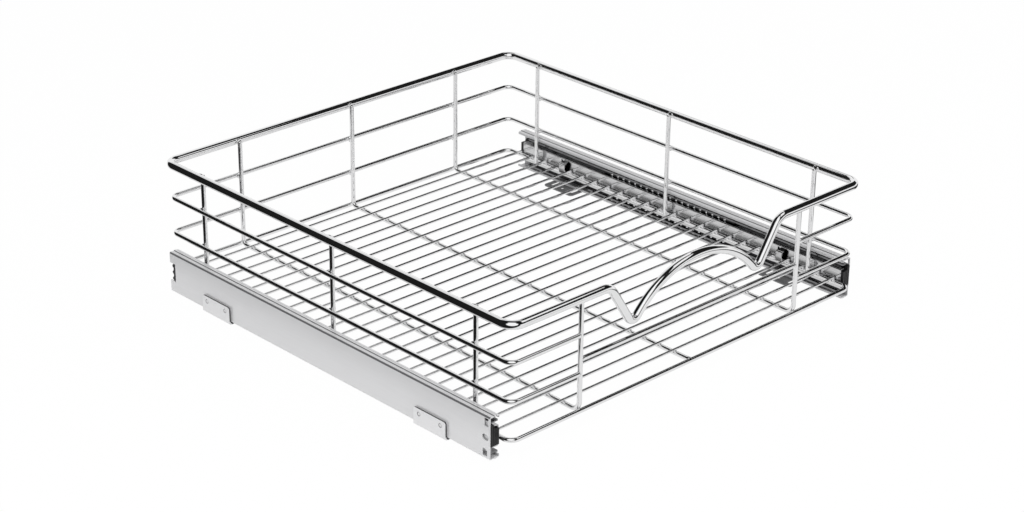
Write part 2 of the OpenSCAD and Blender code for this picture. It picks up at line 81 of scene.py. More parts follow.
# %% Camera
AZIMUTH, ELEVATION, ROLL = -43.831, 24.781, -0.6
DISTANCE = 2529.6 * MM
AIM = np.array([0, 0, 75.5]) * MM
SHIFT_RIGHT, SHIFT_DOWN = -2.27 * MM, -26.9 * MM
SENSOR, LENS = 36.0, 83.68
CLIP = 0.05, 50


def camera_axes(azimuth, elevation, roll):
    """Right, down and forward of a camera at that azimuth and elevation, turned by roll about
    its forward axis: right' = right cos + down sin, down' = down cos - right sin."""
    a, e, r = np.radians([azimuth, elevation, roll])
    forward = -np.array([np.sin(a) * np.cos(e), -np.cos(a) * np.cos(e), np.sin(e)])
    right = np.cross(forward, Z)
    right /= np.linalg.norm(right)
    down = np.cross(forward, right)
    return right * np.cos(r) + down * np.sin(r), down * np.cos(r) - right * np.sin(r), forward


def make_camera():
    """Adds the scene's camera at AIM, moved by the shifts and back by DISTANCE."""
    right, down, forward = camera_axes(AZIMUTH, ELEVATION, ROLL)
    place = AIM - SHIFT_RIGHT * right - SHIFT_DOWN * down - DISTANCE * forward
    data = bpy.data.cameras.new("camera")
    data.lens, data.sensor_width = LENS, SENSOR
    data.clip_start, data.clip_end = CLIP
    camera = bpy.data.objects.new("camera", data)
    turn = np.stack([right, -down, -forward], axis=1)
    camera.matrix_world = Matrix.Translation(place) @ Matrix(turn.tolist()).to_4x4()
    bpy.context.scene.collection.objects.link(camera)
    bpy.context.scene.camera = camera
    print("camera at", np.round(place, 3))


make_camera()
bpy.context.scene.view_settings.view_transform = "Standard"

# %% [markdown]
# ## Node helpers
#
# The studio and every finish are small trees of shader nodes. They could be drawn by hand in the
# Shader Editor. These helpers add one node at a time and join it up instead, which keeps each
# tree readable as a few lines.


# %% Node helpers
def add(tree, kind, inputs=(), **settings):
    """Adds a node, sets its properties, and sets or links its inputs by name or number."""
    node = tree.nodes.new(kind)
    for name, value in settings.items():
        setattr(node, name, value)
    for name, value in dict(inputs).items():
        if isinstance(value, bpy.types.NodeSocket):
            tree.links.new(value, node.inputs[name])
        else:
            node.inputs[name].default_value = value
    return node


def empty_tree(data):
    """The node tree of a new material or world, without the nodes it came with."""
    data.use_nodes = True
    data.node_tree.nodes.clear()
    return data.node_tree


def xyz(tree, vector):
    """The X, Y and Z outputs of a vector."""
    return add(tree, "ShaderNodeSeparateXYZ", {0: vector}).outputs


def calc(tree, operation, *values):
    """One Math node; its values are numbers or sockets."""
    return add(tree, "ShaderNodeMath", dict(enumerate(values)), operation=operation).outputs[0]


def fade(tree, value, start, end, low=0.0, high=1.0):
    """Goes smoothly from low to high as value goes from start to end."""
    inputs = {"Value": value, "From Min": start, "From Max": end, "To Min": low, "To Max": high}
    node = add(tree, "ShaderNodeMapRange", inputs, interpolation_type="SMOOTHSTEP")
    return node.outputs[0]


def mix_colour(tree, share, first, second):
    """Goes from the first colour to the second as share goes from 0 to 1."""
    inputs = {"Factor": share, "A": first, "B": second}
    return add(tree, "ShaderNodeMix", inputs, data_type="RGBA").outputs["Result"]


def mix_shader(tree, share, first, second):
    """Goes from the first shader to the second as share goes from 0 to 1."""
    inputs = {0: share, 1: first.outputs[0], 2: second.outputs[0]}
    return add(tree, "ShaderNodeMixShader", inputs)


WHITE = (1, 1, 1, 1)


# %% [markdown]
# ## Studio
#
# Bright metal has no colour of its own: it shows the room. So the room matters more than the
# finish. It could be built from cards all round, but a world that is worked out from the
# direction of a ray is quicker to render and to adjust. What mirrors see of it is a light
# backdrop behind the basket and to the right, a small soft box overhead, a larger one beside the
# camera, and black everywhere else. The camera itself sees plain white, and Light Path tells the
# kinds of ray apart. Each pair below is where an edge starts and ends: for the backdrop as a
# part of the ray's direction, for a soft box as the cosine of its angle to the ray.

# %% Studio
BLACK_FLAG, AMBIENT, BACKDROP_LEVEL = 0.012, 0.62, 0.82
LEFT_END, TURN_BACK, TURN_RIGHT = (-0.06, 0.1), (0, 0.3), (0.56, 0.62)
FRONT_TOP, BACKDROP_TOP, SIDE_TOP, TOP_SOFT = 0.26, 0.8, 0.42, 0.03
OVERHEAD, OVERHEAD_EDGE = (-0.31, -0.29, 0.905), (0.94, 0.965)
BESIDE_CAMERA, BESIDE_EDGE = (-0.6, -0.6, 0.53), (0.82, 0.88)


def soft_box(tree, way, toward, edge):
    """1 for a ray that runs toward the box, and 0 past the box's edge."""
    dot = add(tree, "ShaderNodeVectorMath", {0: way, 1: toward}, operation="DOT_PRODUCT")
    return fade(tree, dot.outputs["Value"], *edge)


def studio_world():
    """The backdrop's top falls from behind to the front and to the far right. Its light and the
    soft boxes are for mirrors; matt surfaces get an even light from everywhere."""
    world = bpy.data.worlds.new("studio")
    bpy.context.scene.world = world
    tree = empty_tree(world)
    ray = add(tree, "ShaderNodeLightPath").outputs
    way = add(tree, "ShaderNodeTexCoord").outputs["Generated"]
    part = xyz(tree, way)
    right = fade(tree, part["X"], *LEFT_END)
    behind = fade(tree, part["Y"], *TURN_BACK, FRONT_TOP, BACKDROP_TOP)
    beside = fade(tree, part["X"], *TURN_RIGHT, BACKDROP_TOP, SIDE_TOP)
    over = calc(tree, "SUBTRACT", part["Z"], calc(tree, "MINIMUM", behind, beside))
    side = fade(tree, over, -TOP_SOFT, TOP_SOFT, BACKDROP_LEVEL, 0)
    boxes = calc(tree, "MAXIMUM", soft_box(tree, way, OVERHEAD, OVERHEAD_EDGE),
                 soft_box(tree, way, BESIDE_CAMERA, BESIDE_EDGE))
    seen = calc(tree, "MAXIMUM", calc(tree, "MULTIPLY", right, side), boxes)
    seen = fade(tree, seen, 0, 1, BLACK_FLAG, 1)
    mirror = calc(tree, "MAXIMUM", ray["Is Glossy Ray"], ray["Is Transmission Ray"])
    level = add(tree, "ShaderNodeMix", {"Factor": mirror, "A": AMBIENT, "B": seen}).outputs[0]
    strength = calc(tree, "MAXIMUM", level, ray["Is Camera Ray"])
    shade = add(tree, "ShaderNodeBackground", {"Color": WHITE, "Strength": strength})
    add(tree, "ShaderNodeOutputWorld", {"Surface": shade.outputs[0]})
    print("world", world.name, "nodes", len(tree.nodes))


studio_world()

# %% [markdown]
# ## Table
#
# The object stands on a white table, one large grid. Plain white paper would do for the camera,
# but wire this bright shows the whole table below it. So a mirror sees another table than the
# camera does. To the camera it is white, with a trace of the object's shadow. To a mirror it is
# white up to an edge left of the basket and black beyond it, with a dark strip in the shade of
# the right slide and a dark sheet at the front on the right. A strip's numbers are its range in
# x, its range in y and the width of its soft edge.

# %% Table
TABLE_HALF, TABLE_DROP, GRID_POINTS = 6.0, 0.3 * MM, 9
TABLE_EDGE, EDGE_SOFT = -0.315, 0.02
TABLE_LEVEL, SHADE_LEVEL = 0.82, 0.03
TABLE_COLOUR, SHADOW_SHARE = (0.9, 0.9, 0.9, 1), 0.025
SLIDE_SHADE = (0.201, 0.215), (-0.26, 0.26), 0.004
DARK_CORNER = (0.42, 1.6), (-1.3, -0.2), 0.06


def patch(tree, part, x, y, soft):
    """1 inside the rectangle x by y and 0 outside, with an edge that is soft metres wide."""
    inside = 1.0
    for name, (low, high) in (("X", x), ("Y", y)):
        for edge, start, end in ((low, 0, 1), (high, 1, 0)):
            step = fade(tree, part[name], edge - soft / 2, edge + soft / 2, start, end)
            inside = calc(tree, "MULTIPLY", inside, step)
    return inside


def table_material():
    material = bpy.data.materials.new("table")
    tree = empty_tree(material)
    ray = add(tree, "ShaderNodeLightPath").outputs
    part = xyz(tree, add(tree, "ShaderNodeTexCoord").outputs["Object"])
    lit = fade(tree, part["X"], TABLE_EDGE - EDGE_SOFT, TABLE_EDGE + EDGE_SOFT, BLACK_FLAG,
               TABLE_LEVEL)
    shade = calc(tree, "MAXIMUM", patch(tree, part, *SLIDE_SHADE),
                 patch(tree, part, *DARK_CORNER))
    lit = calc(tree, "MULTIPLY", lit, fade(tree, shade, 0, 1, 1, SHADE_LEVEL))
    matt = add(tree, "ShaderNodeBsdfDiffuse", {"Color": TABLE_COLOUR})
    white = add(tree, "ShaderNodeEmission", {"Color": WHITE, "Strength": 1.0})
    mirrored = add(tree, "ShaderNodeEmission", {"Color": WHITE, "Strength": lit})
    seen = mix_shader(tree, 1 - SHADOW_SHARE, matt, white)
    plain = mix_shader(tree, ray["Is Camera Ray"], matt, seen)
    whole = mix_shader(tree, ray["Is Glossy Ray"], plain, mirrored)
    add(tree, "ShaderNodeOutputMaterial", {"Surface": whole.outputs[0]})
    return material


def flat_grid(name, x, y, z, material):
    """A level grid of quads over the ranges x and y at height z, linked to the scene."""
    n = GRID_POINTS
    gx, gy = np.meshgrid(np.linspace(*x, n), np.linspace(*y, n), indexing="ij")
    points = np.stack([gx, gy, np.full_like(gx, z)], axis=-1).reshape(-1, 3)
    index = np.arange(n * n).reshape(n, n)
    corners = [index[:-1, :-1], index[1:, :-1], index[1:, 1:], index[:-1, 1:]]
    mesh = bpy.data.meshes.new(name)
    mesh.from_pydata(points.tolist(), [], np.stack(corners, -1).reshape(-1, 4).tolist())
    mesh.materials.append(material)
    grid = bpy.data.objects.new(name, mesh)
    bpy.context.scene.collection.objects.link(grid)
    print(name, "quads", len(mesh.polygons))
    return grid


flat_grid("table", (-TABLE_HALF, TABLE_HALF), (-TABLE_HALF, TABLE_HALF), -TABLE_DROP,
          table_material())

# %% [markdown]
# ## Cards and lamps
#
# Two light cards hang a metre above the table, one in front and one behind. They could be a part
# of the world, but a card is near enough to slide along a wire's highlight from one of its ends
# to the other. Only mirrors see them. Two large soft lamps light the satin surfaces, and mirrors
# don't see those. A card's numbers are its ranges in x and y and its strength, and a lamp's are
# its place, its size in metres and its power in watts.

# %% Cards and lamps
CARD_HEIGHT = 1.0
REAR_CARD = (0.04, 0.32), (0.35, 1.5), 0.62
FRONT_CARD = (0.15, 0.62), (-1.0, -0.25), 0.9
LAMP_AIM = Vector((0, 0, 0.05))
KEY_LAMP = Vector((-1.6, -1.1, 1.9)), 1.6, 34
FILL_LAMP = Vector((1.5, -1.6, 1.6)), 1.8, 16


def light_card(name, x, y, level):
    """A card overhead that only mirrors see."""
    material = bpy.data.materials.new(name)
    tree = empty_tree(material)
    glow = add(tree, "ShaderNodeEmission", {"Color": WHITE, "Strength": level})
    add(tree, "ShaderNodeOutputMaterial", {"Surface": glow.outputs[0]})
    card = flat_grid(name, x, y, CARD_HEIGHT, material)
    card.visible_camera = card.visible_diffuse = card.visible_shadow = False
    card.visible_transmission = card.visible_volume_scatter = False


def soft_lamp(name, place, size, power):
    """A round area lamp that points at LAMP_AIM and that mirrors don't see."""
    data = bpy.data.lights.new(name, "AREA")
    data.shape, data.size, data.energy = "DISK", size, power
    lamp = bpy.data.objects.new(name, data)
    lamp.location = place
    lamp.rotation_euler = (LAMP_AIM - place).to_track_quat("-Z", "Y").to_euler()
    lamp.visible_glossy = False
    bpy.context.scene.collection.objects.link(lamp)
    print(name, power, "W")


light_card("rear_card", *REAR_CARD)
light_card("front_card", *FRONT_CARD)
soft_lamp("key_lamp", *KEY_LAMP)
soft_lamp("fill_lamp", *FILL_LAMP)

# %% [markdown]
# ## Finishes
#
# The basket is plated with chrome, the slides are rolled strip with a satin or a bright plating,
# and the bumpers are moulded. Each finish is a Principled shader. Pictures could carry the wear,
# but noise on Object coordinates needs no unwrapping and stays fixed to the metal. It changes
# the roughness a little and raises a bump of a few micrometres. Rolled strip carries faint
# streaks along its length, which here is Y, so its noise is stretched along Y.

# %% Finish helper
GRAIN = 0.3, 0.7
GRAIN_DETAIL, GRAIN_ROUGHNESS = 5, 0.6
BUMP_HEIGHT = 0.2 * MM
ROUND, STREAK = (1, 1, 1), (1, 0.04, 1)


def finish_material(name, base, metallic, rough, vary, stretch, scale, bump, tint=0, marks=None,
                    mark_colour=None, mark_metallic=None):
    """Principled shader with noise in its roughness, colour and bump. rough is the lowest
    roughness and vary what the noise adds; tint is the share by which the colour darkens.
    marks(tree, place) gives 0 to 1: how far the colour goes over to mark_colour, and the
    metallic value to mark_metallic if that is given. A dark mark_colour is painted shade."""
    material = bpy.data.materials.new(name)
    tree = empty_tree(material)
    place = add(tree, "ShaderNodeTexCoord").outputs["Object"]
    spread = add(tree, "ShaderNodeMapping", {"Vector": place, "Scale": stretch})
    noise = add(tree, "ShaderNodeTexNoise",
                {"Vector": spread.outputs[0], "Scale": scale, "Detail": GRAIN_DETAIL,
                 "Roughness": GRAIN_ROUGHNESS})
    grain = noise.outputs["Fac"]
    colour = (*base, 1)
    if tint > 0:
        dark = tuple(c * (1 - tint) for c in base)
        colour = mix_colour(tree, fade(tree, grain, *GRAIN), colour, (*dark, 1))
    if marks:
        share = marks(tree, place)
        colour = mix_colour(tree, share, colour, (*mark_colour, 1))
        if mark_metallic is not None:
            metallic = fade(tree, share, 0, 1, metallic, mark_metallic)
    roughness = fade(tree, grain, *GRAIN, rough, rough + vary)
    relief = add(tree, "ShaderNodeBump",
                 {"Height": grain, "Strength": bump, "Distance": BUMP_HEIGHT})
    shader = add(tree, "ShaderNodeBsdfPrincipled",
                 {"Base Color": colour, "Metallic": metallic, "Roughness": roughness,
                  "Normal": relief.outputs[0]})
    add(tree, "ShaderNodeOutputMaterial", {"Surface": shader.outputs[0]})
    print("finish", name, "nodes", len(tree.nodes))
    return material


# %% [markdown]
# ## Painted shade on the outer members
#
# Shade is painted in three places: a dark line along the tight bend at the top, a dark line along
# each foot of the bead that the ball track raises, and a darker inside of the channel. They run
# the whole length. Each is at its own place across the slide, so it is a smooth step on |x|, on z
# or on their sum, the same on the left and on the right.

# %% Painted shade on the outer members
BEND_SUM, MARK_SOFT = 310.0 * MM, 0.2 * MM
FOOT_X, FOOT_GAP, FOOT_Z, FOOT_HALF = 256.6 * MM, 1.45 * MM, 47 * MM, 0.35 * MM
STRIPE_SOFT = 1.35
SLIDE_MIDDLE, WEB_INSIDE, WEB_SOFT = 25 * MM, 262.9 * MM, 0.1 * MM
# Painted shade inside the channel: where it fades out above and below the middle, and how dark it
# gets.
CHANNEL_SHADE_END, CHANNEL_SHADE_SHARE = (21.4 * MM, 21.8 * MM), 0.35


def stripe(tree, value, centre, half):
    """1 on a stripe about centre, and 0 from half and a little more on either side."""
    off = calc(tree, "ABSOLUTE", calc(tree, "SUBTRACT", value, centre))
    return fade(tree, off, half, STRIPE_SOFT * half, 1, 0)


def crease_shade(tree, place):
    """Painted shade: dark lines on the slide's upper outer bend, which is where |x| + z is
    largest, and along both feet of the bead that the ball track raises on the upper flange; a
    darker inside of the channel."""
    part = xyz(tree, place)
    across = calc(tree, "ABSOLUTE", part["X"])
    bend = fade(tree, calc(tree, "ADD", across, part["Z"]), BEND_SUM, BEND_SUM + MARK_SOFT)
    aside = calc(tree, "ABSOLUTE", calc(tree, "SUBTRACT", across, FOOT_X))
    on_top = fade(tree, part["Z"], FOOT_Z - MARK_SOFT, FOOT_Z)
    feet = calc(tree, "MULTIPLY", stripe(tree, aside, FOOT_GAP, FOOT_HALF), on_top)
    half = calc(tree, "ABSOLUTE", calc(tree, "SUBTRACT", part["Z"], SLIDE_MIDDLE))
    channel_shade = fade(tree, half, *CHANNEL_SHADE_END, CHANNEL_SHADE_SHARE, 0)
    inside = fade(tree, across, WEB_INSIDE - WEB_SOFT, WEB_INSIDE, 1, 0)
    return calc(tree, "MAXIMUM", calc(tree, "MAXIMUM", bend, feet),
                calc(tree, "MULTIPLY", channel_shade, inside))


# %% [markdown]
# ## Painted shade on the brackets
#
# A bracket is sheared and pressed from sheet. Painted shade darkens its sheared edges, a ring in
# the dimple round each of its two rivets, and its foot, which lies in the slide's shade. The
# edges are told by the way that the surface faces, and the rest by its place on the bracket.
# Both brackets of a side are one pattern, because the distance from the middle between them is
# the same.

# %% Painted shade on the brackets
PLATE_X = 264.8 * MM
ON_PLATE, ABOVE_FOOT = (PLATE_X - 2 * MM, PLATE_X - 1 * MM), (3 * MM, 4 * MM)
SIDEWAYS = 0.6, 0.8
BRACKET_Y, SETBACK = 168 * MM, 1 * MM
# Painted shade in the dimples round the rivets and on the foot: where it ends and how dark it
# gets.
RIVET_Y, RIVET_Z, RIVET_EDGE, DIMPLE_SHADE_SHARE = 15.4 * MM, 13.8 * MM, (2.2 * MM, 2.5 * MM), 0.8
FOOT_END, FOOT_SHADE_SHARE = (PLATE_X - 4.5 * MM, PLATE_X - 3.5 * MM), 0.72
FOLD_END = PLATE_X - 1.6 * MM, PLATE_X - 1.1 * MM


def length_of(tree, u, v):
    """The square root of u squared plus v squared."""
    squares = [calc(tree, "MULTIPLY", value, value) for value in (u, v)]
    return calc(tree, "SQRT", calc(tree, "ADD", *squares))


def bracket_shade(tree, place):
    """Painted shade on the sheared edges, in the dimples round the rivets, and on the foot and
    fold.
    """
    part = xyz(tree, place)
    turn = xyz(tree, add(tree, "ShaderNodeTexCoord").outputs["Normal"])
    across = calc(tree, "ABSOLUTE", part["X"])
    on_plate = fade(tree, across, *ON_PLATE)
    raised = calc(tree, "MULTIPLY", on_plate, fade(tree, part["Z"], *ABOVE_FOOT))
    sheared = fade(tree, calc(tree, "ABSOLUTE", turn["X"]), *SIDEWAYS, 1, 0)
    edge = calc(tree, "MULTIPLY", raised, sheared)
    along = calc(tree, "ABSOLUTE", calc(tree, "ADD", part["Y"], SETBACK))
    from_mid = calc(tree, "ABSOLUTE", calc(tree, "SUBTRACT", along, BRACKET_Y))
    reach = length_of(tree, calc(tree, "SUBTRACT", from_mid, RIVET_Y),
                      calc(tree, "SUBTRACT", part["Z"], RIVET_Z))
    dimple = calc(tree, "MULTIPLY", on_plate, fade(tree, reach, *RIVET_EDGE, DIMPLE_SHADE_SHARE, 0))
    foot = calc(tree, "MULTIPLY", fade(tree, across, *FOOT_END, FOOT_SHADE_SHARE, 1),
                fade(tree, across, *FOLD_END, 1, 0))
    return calc(tree, "MAXIMUM", calc(tree, "MAXIMUM", edge, dimple), foot)


# %% [markdown]
# ## Faces that look outward
#
# The middle and inner members are bright where the balls run and on the side of the basket. On
# their other side they are satin, as the outer member is, and the same finish does both: its
# metallic value falls where the surface looks away from the basket. A second material on those
# faces would do too, but it would change the frame's meshes.

# %% Faces that look outward
AWAY = 0.6, 0.9


def outward(tree, place):
    """1 on the faces of a slide member that look away from the basket, where the normal's x
    has the sign of x itself."""
    turn = xyz(tree, add(tree, "ShaderNodeTexCoord").outputs["Normal"])
    sign = calc(tree, "SIGN", xyz(tree, place)["X"])
    return fade(tree, calc(tree, "MULTIPLY", sign, turn["X"]), *AWAY)


# %% [markdown]
# ## The finishes of this basket
#
# One finish for each kind of metal or plastic. They could be set one by one in the material
# editor; as calls of one helper they stay alike in all but their numbers. The record says which
# slot each node has, and the middle members get a darker copy of the nickel: painted shade.

# %% Bright and satin metals
CHROME = finish_material("bright_chrome", (0.9, 0.9, 0.905), metallic=1, rough=0.04, vary=0.04,
                         stretch=ROUND, scale=900, bump=0.02)
# The zinc's dark mark colour paints shade along the creases and inside the channel.
ZINC = finish_material("satin_zinc", (0.71, 0.71, 0.72), metallic=0.3, rough=0.3, vary=0.05,
                       stretch=STREAK, scale=700, bump=0.012, tint=0.02,
                       marks=crease_shade, mark_colour=(0.16, 0.16, 0.165))
# The bracket zinc's near black mark colour paints shade on the edges, dimples and foot.
BRACKET_ZINC = finish_material("bracket_zinc", (0.8, 0.8, 0.81), metallic=0.35, rough=0.36,
                               vary=0.1, stretch=ROUND, scale=500, bump=0.05, tint=0.03,
                               marks=bracket_shade, mark_colour=(0.02, 0.02, 0.022))
SATIN, SATIN_METALLIC = (0.66, 0.66, 0.67), 0.3
NICKEL = finish_material("bright_nickel", (0.72, 0.72, 0.725), metallic=1, rough=0.1, vary=0.08,
                         stretch=STREAK, scale=800, bump=0.05, tint=0.08,
                         marks=outward, mark_colour=SATIN, mark_metallic=SATIN_METALLIC)
# A darker copy of the bright nickel: painted shade on the middle members' faces toward the basket.
SHADED_NICKEL = finish_material("shaded_nickel", (0.22, 0.22, 0.225), metallic=1, rough=0.12,
                             vary=0.08, stretch=STREAK, scale=800, bump=0.05, tint=0.1,
                             marks=outward, mark_colour=SATIN, mark_metallic=SATIN_METALLIC)
BALL_STEEL = finish_material("ball_steel", (0.8, 0.8, 0.81), metallic=1, rough=0.05, vary=0.04,
                             stretch=ROUND, scale=600, bump=0.01)

# %% Plastics
CAGE = finish_material("cage_nylon", (0.018, 0.018, 0.02), metallic=0, rough=0.5, vary=0.2,
                       stretch=ROUND, scale=900, bump=0.3, tint=0.4)
PLASTIC = finish_material("moulded_black", (0.006, 0.006, 0.007), metallic=0, rough=0.3,
                          vary=0.25, stretch=ROUND, scale=1500, bump=0.4, tint=0.35)

# %% Finishes on the nodes
SLOT_FINISH = {"chrome_wire": CHROME, "zinc_steel": ZINC, "bracket_steel": BRACKET_ZINC,
               "bright_steel": NICKEL, "ball_steel": BALL_STEEL, "cage_plastic": CAGE,
               "black_plastic": PLASTIC}
node_slot = {s["node"]: s["material_slot"] for s in frame["record"]["subparts"]}
for name, node in frame["nodes"].items():
    node.data.materials.clear()
    # The middle members take the darker nickel, which paints shade on them.
    finish = SHADED_NICKEL if "mid_member" in name else SLOT_FINISH[node_slot[name]]
    node.data.materials.append(finish)
print("slots", len(SLOT_FINISH), "nodes with a finish", len(node_slot))

# %% [markdown]
# ## Soft edges
#
# Moulded plastic and pressed sheet have no sharp edges. Rounding them in the solids would cost
# many faces for a few tenths of a millimetre. A Bevel modifier does it here, on the bumpers and
# the brackets, so that each edge catches light.

# %% Soft edges
BUMPER_EDGE, BRACKET_EDGE = 0.5 * MM, 0.3 * MM
BEVEL_SEGMENTS, SHARP_FROM = 2, np.radians(40)
soft = {n: BUMPER_EDGE for n in frame["nodes"] if "bumper" in n}
soft |= {n: BRACKET_EDGE for n in frame["nodes"] if n.endswith("_bracket")}
for name, width in soft.items():
    edge = frame["nodes"][name].modifiers.new("soft_edge", "BEVEL")
    edge.width, edge.segments = width, BEVEL_SEGMENTS
    edge.limit_method, edge.angle_limit = "ANGLE", SHARP_FROM
print("softened", len(soft))

# %% [markdown]
# ## Wire
#
# A wire is a circle carried along a path. A curve object with a bevel would do it too, but it
# gives no say in where the rings lie. The path is a list of places with the way the wire runs at
# each: a straight needs only its two ends, and a bend is an arc. The circle is turned into the
# plane across the path, with one arm kept near a fixed reference direction, so the tube never
# twists. Everything is worked out as whole arrays.


# %% Path helpers
BEND_STEP, SAME_PLACE = 7.5, 0.001 * MM


def straight(p, q):
    """The two ends of a straight wire and its direction at each: (q - p) / |q - p|."""
    ends = np.array([p, q], float)
    way = ends[1] - ends[0]
    return ends, np.tile(way / np.linalg.norm(way), (2, 1))


def arc(centre, r, start, end, u, v, step=BEND_STEP):
    """centre + r (cos a u + sin a v) for angles a from start to end degrees, about one each
    step degrees, with the direction of travel."""
    count = max(3, int(abs(end - start) / step) + 2)
    a = np.radians(np.linspace(start, end, count))[:, None]
    way = np.sign(end - start) * (np.cos(a) * v - np.sin(a) * u)
    return centre + r * (np.cos(a) * u + np.sin(a) * v), way


def path(*pieces):
    """Joins pieces end to end, leaving out places that two pieces share."""
    points = np.vstack([p for p, _ in pieces])
    ways = np.vstack([w for _, w in pieces])
    keep = np.r_[True, np.linalg.norm(np.diff(points, axis=0), axis=1) > SAME_PLACE]
    return points[keep], ways[keep]


# %% Rings along a path
END_CHAMFER, CHAMFER_SHARE = 0.35 * MM, 0.4
STEADY, LONG_GAP = 1.5 * MM, 4


def ends_of(points, ways, radius):
    """Adds a ring at each end, so that a cut wire end has a small chamfer."""
    c = min(END_CHAMFER, CHAMFER_SHARE * radius)
    points = np.vstack([points[:1], points[:1] + c * ways[:1], points[1:-1],
                        points[-1:] - c * ways[-1:], points[-1:]])
    ways = np.vstack([ways[:1], ways, ways[-1:]])
    radii = np.full(len(points), radius)
    radii[[0, -1]] = radius - c
    return points, ways, radii


def steady(points, ways, radii, closed):
    """Adds a ring a little inside both ends of every long gap between rings, so that smooth
    shading carries no tilt of a bend or a chamfer along the straight."""
    gap = (np.roll(points, -1, axis=0) - points)[:len(points) if closed else -1]
    length = np.linalg.norm(gap, axis=1)
    at = np.flatnonzero(length > LONG_GAP * STEADY)
    way = gap[at] / length[at, None]
    near = np.stack([points[at] + STEADY * way, points[at] + gap[at] - STEADY * way], axis=1)
    put = np.repeat(at + 1, 2)
    return (np.insert(points, put, near.reshape(-1, 3), axis=0),
            np.insert(ways, put, np.repeat(way, 2, axis=0), axis=0),
            np.insert(radii, put, np.repeat(radii[at], 2)))


# %% Sweep
WIRE_SIDES, RIM_SIDES, FLOOR_SIDES = 48, 72, 32


def sweep(points, ways, radius, ref, closed=False, sides=WIRE_SIDES):
    """Tube round a path. Ring i, point j is p_i + r_i (cos t_j n_i + sin t_j b_i), where n is
    ref made square to the path's direction w, and b = w x n."""
    if closed:
        radii = np.full(len(points), radius)
    else:
        points, ways, radii = ends_of(points, ways, radius)
    points, ways, radii = steady(points, ways, radii, closed)
    n = ref - (ways @ ref)[:, None] * ways
    n /= np.linalg.norm(n, axis=1)[:, None]
    b = np.cross(ways, n)
    t = np.linspace(0, 2 * np.pi, sides, endpoint=False)
    ring = np.cos(t)[None, :, None] * n[:, None] + np.sin(t)[None, :, None] * b[:, None]
    verts = (points[:, None] + radii[:, None, None] * ring).reshape(-1, 3)
    rings = len(points)
    i = np.arange(rings if closed else rings - 1)[:, None]
    j = np.arange(sides)[None, :]
    i2, j2 = (i + 1) % rings, (j + 1) % sides
    quads = np.stack([i * sides + j, i * sides + j2, i2 * sides + j2, i2 * sides + j], -1)
    faces = quads.reshape(-1, 4).tolist()
    if not closed:
        faces.append(list(range(sides))[::-1])
        faces.append(list(range((rings - 1) * sides, rings * sides)))
    return verts, faces


# %% [markdown]
# ## Weld beads
#
# Resistance welding squeezes two crossing wires together and leaves a small rounded bead in the
# crook between them. It could be sculpted, or blended by a remesh, at the cost of many faces. An
# ellipsoid does for it: it is widest along the two wires and thin across them. A touch of a wave
# on its equator keeps it from looking turned on a lathe. A bead's size is half its width along
# its first direction, along its second, and across them.

# %% Weld beads
BEAD_WAVE, BEAD_LOBES, BEAD_TURN = 0.07, 3, 2.4
BEAD_ACROSS, BEAD_DOWN = 9, 6


def bead_rings(centres, a, b, n, size):
    """Rings and poles of the ellipsoids c + s_a cos p cos q a + s_b cos p sin q b + s_n sin p n,
    with their radius waved by 1 + 0.07 sin(3 q + phase)."""
    p = np.linspace(-np.pi / 2, np.pi / 2, BEAD_DOWN + 1)[1:-1, None]
    q = np.linspace(0, 2 * np.pi, BEAD_ACROSS, endpoint=False)[None, :]
    phase = np.arange(len(centres))[:, None, None] * BEAD_TURN
    wave = 1 + BEAD_WAVE * np.sin(BEAD_LOBES * q + phase)
    along_a = size[0] * np.cos(p) * np.cos(q) * wave
    along_b = size[1] * np.cos(p) * np.sin(q) * wave
    along_n = size[2] * np.sin(p) * np.ones_like(wave)
    body = (centres[:, None, None] + along_a[..., None] * a + along_b[..., None] * b
            + along_n[..., None] * n)
    poles = centres[:, None] + np.array([-1, 1])[None, :, None] * size[2] * np.asarray(n)
    return body.reshape(len(centres), -1, 3), poles


def beads(centres, a, b, n, size):
    """Closed beads at the centres, as one mesh. a, b and n are unit directions. Each bead is its
    rings, then its low and its high pole, which fans of triangles close."""
    centres = np.atleast_2d(centres)
    body, poles = bead_rings(centres, a, b, n, size)
    verts = np.concatenate([body, poles], axis=1).reshape(-1, 3)
    across, one = BEAD_ACROSS, body.shape[1]
    i = np.arange(BEAD_DOWN - 2)[:, None]
    j = np.arange(across)[None, :]
    j2 = (j + 1) % across
    quads = np.stack([i * across + j, i * across + j2, (i + 1) * across + j2,
                      (i + 1) * across + j], -1).reshape(-1, 4)
    top = one - across
    low = np.stack([np.full(across, one), j2[0], j[0]], -1)
    high = np.stack([np.full(across, one + 1), top + j[0], top + j2[0]], -1)
    shift = np.arange(len(centres))[:, None, None] * (one + 2)
    faces = (quads[None] + shift).reshape(-1, 4).tolist()
    for fan in (low, high):
        faces += (fan[None] + shift).reshape(-1, 3).tolist()
    return verts, faces


# %% [markdown]
# ## Pieces
#
# A piece is all the wire of one CAD node with its beads, so it is one mesh. Joining objects with
# Blender's own operator would need a selection; here the arrays are put end to end and become a
# mesh once. It then rides on its body, and the CAD nodes that it stands for are hidden.

# %% Mesh pieces
def merge(parts):
    """Puts several (vertices, faces) together as one."""
    start = np.cumsum([0] + [len(v) for v, _ in parts])
    faces = [[i + int(s) for i in f] for (_, fs), s in zip(parts, start) for f in fs]
    return np.vstack([v for v, _ in parts]), faces


